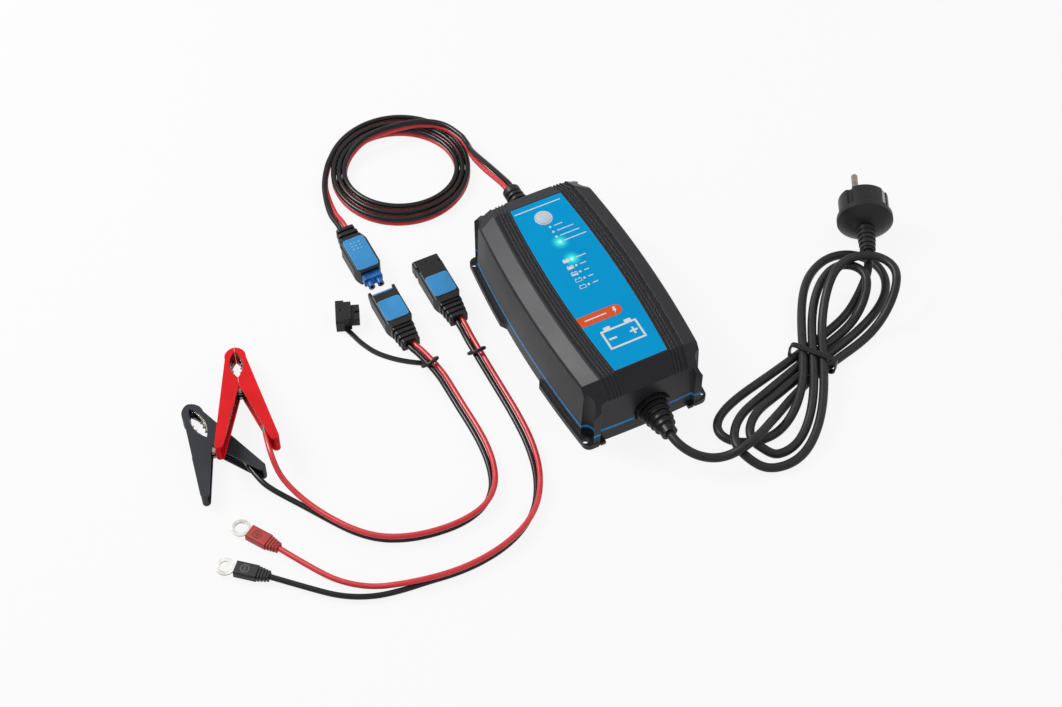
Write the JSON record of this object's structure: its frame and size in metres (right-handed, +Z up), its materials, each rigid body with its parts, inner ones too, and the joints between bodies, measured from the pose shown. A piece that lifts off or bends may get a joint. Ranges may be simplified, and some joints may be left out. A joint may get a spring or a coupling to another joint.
{
  "type": "car battery charger",
  "caption": "Sealed vehicle battery charger in a long ribbed case with a tied mains lead and plug, a coiled output lead, a clamp lead and a ring-terminal lead.",
  "frame": {"origin": "centre of the case's underside", "axes": "+Z up, +Y towards the output end of the case, -Y towards the mains end, +X to the right seen from the mains end"},
  "size_m": [0.5666, 0.4288, 0.0605],
  "materials": {
    "case": "fine satin texture",
    "seal": "satin",
    "label": "printed film, satin",
    "button": "satin",
    "dark_plastic": "satin",
    "lens": "clear, glossy",
    "board": "solder resist",
    "ferrite": "matt",
    "copper": "enamelled",
    "aluminium": "satin",
    "steel": "satin",
    "nickel": "bright nickel",
    "brass": "bright",
    "tinned": "tinned copper",
    "black_rubber": "satin",
    "red_cord": "satin insulation",
    "black_cord": "satin insulation",
    "blue_plastic": "satin",
    "red_plastic": "satin",
    "grey_plastic": "satin",
    "red_rubber": "satin",
    "grey_rubber": "satin"
  },
  "bodies": {
    "charger": {"upper_shell": "case", "base_tray": "case", "seal_gasket": "seal", "label_panel": "label", "button_switch": "dark_plastic", "led_lenses": "lens", "led_board": "board", "main_board": "board", "transformer_core": "ferrite", "transformer_winding": "copper", "capacitors": "aluminium", "heatsink": "aluminium", "power_transistors": "dark_plastic", "filter_choke": "copper", "mains_fuse": "steel", "case_screws": "steel", "mains_gland": "black_rubber", "dc_gland": "black_rubber", "mains_cord": "black_rubber", "mains_hank": "black_rubber", "hank_tie": "black_rubber", "plug_body": "black_rubber", "plug_pins": "nickel", "plug_earth_contacts": "steel", "dc_cord_red": "red_cord", "dc_cord_black": "black_cord", "dc_coil_red": "red_cord", "dc_coil_black": "black_cord", "output_connector_body": "black_rubber", "output_connector_insert": "blue_plastic", "output_connector_contacts": "brass"},
    "mode_button": {"mode_button": "button"},
    "clamp_lead": {"clamp_socket_body": "black_rubber", "clamp_socket_insert": "blue_plastic", "clamp_socket_pins": "brass", "clamp_cap": "black_rubber", "clamp_cord_red": "red_cord", "clamp_cord_black": "black_cord", "red_cover_fixed": "red_plastic", "red_jaw_fixed": "nickel", "red_pivot_pin": "nickel", "red_spring": "steel", "black_cover_fixed": "grey_plastic", "black_jaw_fixed": "nickel", "black_pivot_pin": "nickel", "black_spring": "steel"},
    "red_jaw": {"red_cover_moving": "red_plastic", "red_jaw_moving": "nickel"},
    "black_jaw": {"black_cover_moving": "grey_plastic", "black_jaw_moving": "nickel"},
    "terminal_lead": {"eyelet_socket_body": "black_rubber", "eyelet_socket_insert": "blue_plastic", "eyelet_socket_pins": "brass", "eyelet_cord_red": "red_cord", "eyelet_cord_black": "black_cord", "red_eyelet_boot": "red_rubber", "black_eyelet_boot": "grey_rubber", "ring_terminals": "tinned"},
    "terminal_cap": {"eyelet_cap": "black_rubber"}
  },
  "joints": [
    {"name": "mode_button_press", "type": "slide", "parent": "charger", "child": "mode_button", "axis": [0, 0, -1], "range_m": [0, 0.0007], "stiffness_N_per_m": 900, "springref_m": -0.001},
    {"name": "clamp_lead_plug_in", "type": "slide", "parent": "charger", "child": "clamp_lead", "axis": [0, 1, 0], "range_m": [0, 0.0185]},
    {"name": "red_jaw_open", "type": "hinge", "parent": "clamp_lead", "child": "red_jaw", "pos_m": [-0.24672, 0.05255, 0.01352], "axis": [0.049, 0.1791, 0.9826], "range_deg": [0, 24], "stiffness_Nm_per_rad": 0.35, "springref_deg": -34.38, "deforming": ["red_spring"]},
    {"name": "black_jaw_open", "type": "hinge", "parent": "clamp_lead", "child": "black_jaw", "pos_m": [-0.2813, 0.0195, 0.0062], "axis": [0, 0, 1], "range_deg": [0, 24], "stiffness_Nm_per_rad": 0.35, "springref_deg": -34.38, "deforming": ["black_spring"]},
    {"name": "terminal_lead_lift", "type": "slide", "parent": "charger", "child": "terminal_lead", "axis": [0, 0, 1], "range_m": [0, 0.06]},
    {"name": "terminal_cap_off", "type": "slide", "parent": "terminal_lead", "child": "terminal_cap", "axis": [0, 1, 0], "range_m": [0, 0.011]}
  ]
}
